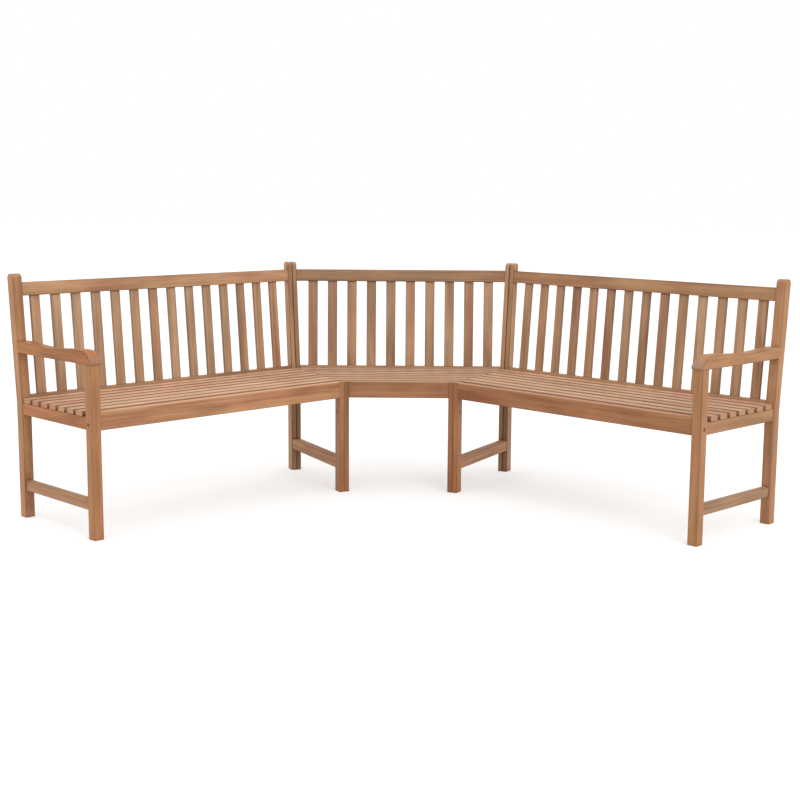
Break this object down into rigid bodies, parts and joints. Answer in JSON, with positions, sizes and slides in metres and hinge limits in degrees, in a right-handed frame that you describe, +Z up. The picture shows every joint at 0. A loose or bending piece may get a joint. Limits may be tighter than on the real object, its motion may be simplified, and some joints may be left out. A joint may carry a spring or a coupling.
{
  "type": "garden corner bench",
  "caption": "Angled garden corner bench in plain hardwood, with a slatted seat mitred at the corner, a slatted raked back and scooped armrests at its ends.",
  "frame": {"origin": "on the floor, under the middle of the whole bench", "axes": "+Z up, +X along the corner module, the wings come forward along -Y"},
  "size_m": [2.8516, 1.344, 0.9],
  "materials": {
    "teak_frame": "sanded",
    "teak_rail": "sanded",
    "teak_back": "sanded",
    "teak_seat": "sanded",
    "teak_arm": "sanded",
    "steel": "satin"
  },
  "bodies": {
    "root": {"corner_apron": "teak_rail", "corner_back_rail": "teak_rail", "corner_back_slats": "teak_back", "corner_mid_bearer": "teak_frame", "corner_seat_slats": "teak_seat", "corner_top_rail": "teak_rail", "left_apron_bolt": "steel", "left_apron_nut": "steel", "left_armrest": "teak_arm", "left_end_front_leg": "teak_frame", "left_end_rear_post": "teak_frame", "left_end_stretcher": "teak_frame", "left_frame_bolts": "steel", "left_frame_nuts": "steel", "left_half_corner_bearer": "teak_frame", "left_half_corner_leg": "teak_frame", "left_half_corner_post": "teak_frame", "left_half_corner_stretcher": "teak_frame", "left_half_wing_bearer": "teak_frame", "left_half_wing_leg": "teak_frame", "left_half_wing_post": "teak_frame", "left_half_wing_stretcher": "teak_frame", "left_side_rail": "teak_rail", "left_wing_apron": "teak_rail", "left_wing_back_rail": "teak_rail", "left_wing_back_slats": "teak_back", "left_wing_mid_bearer": "teak_frame", "left_wing_seat_slats": "teak_seat", "left_wing_top_rail": "teak_rail", "right_apron_bolt": "steel", "right_apron_nut": "steel", "right_armrest": "teak_arm", "right_end_front_leg": "teak_frame", "right_end_rear_post": "teak_frame", "right_end_stretcher": "teak_frame", "right_frame_bolts": "steel", "right_frame_nuts": "steel", "right_half_corner_bearer": "teak_frame", "right_half_corner_leg": "teak_frame", "right_half_corner_post": "teak_frame", "right_half_corner_stretcher": "teak_frame", "right_half_wing_bearer": "teak_frame", "right_half_wing_leg": "teak_frame", "right_half_wing_post": "teak_frame", "right_half_wing_stretcher": "teak_frame", "right_side_rail": "teak_rail", "right_wing_apron": "teak_rail", "right_wing_back_rail": "teak_rail", "right_wing_back_slats": "teak_back", "right_wing_mid_bearer": "teak_frame", "right_wing_seat_slats": "teak_seat", "right_wing_top_rail": "teak_rail"}
  },
  "joints": []
}
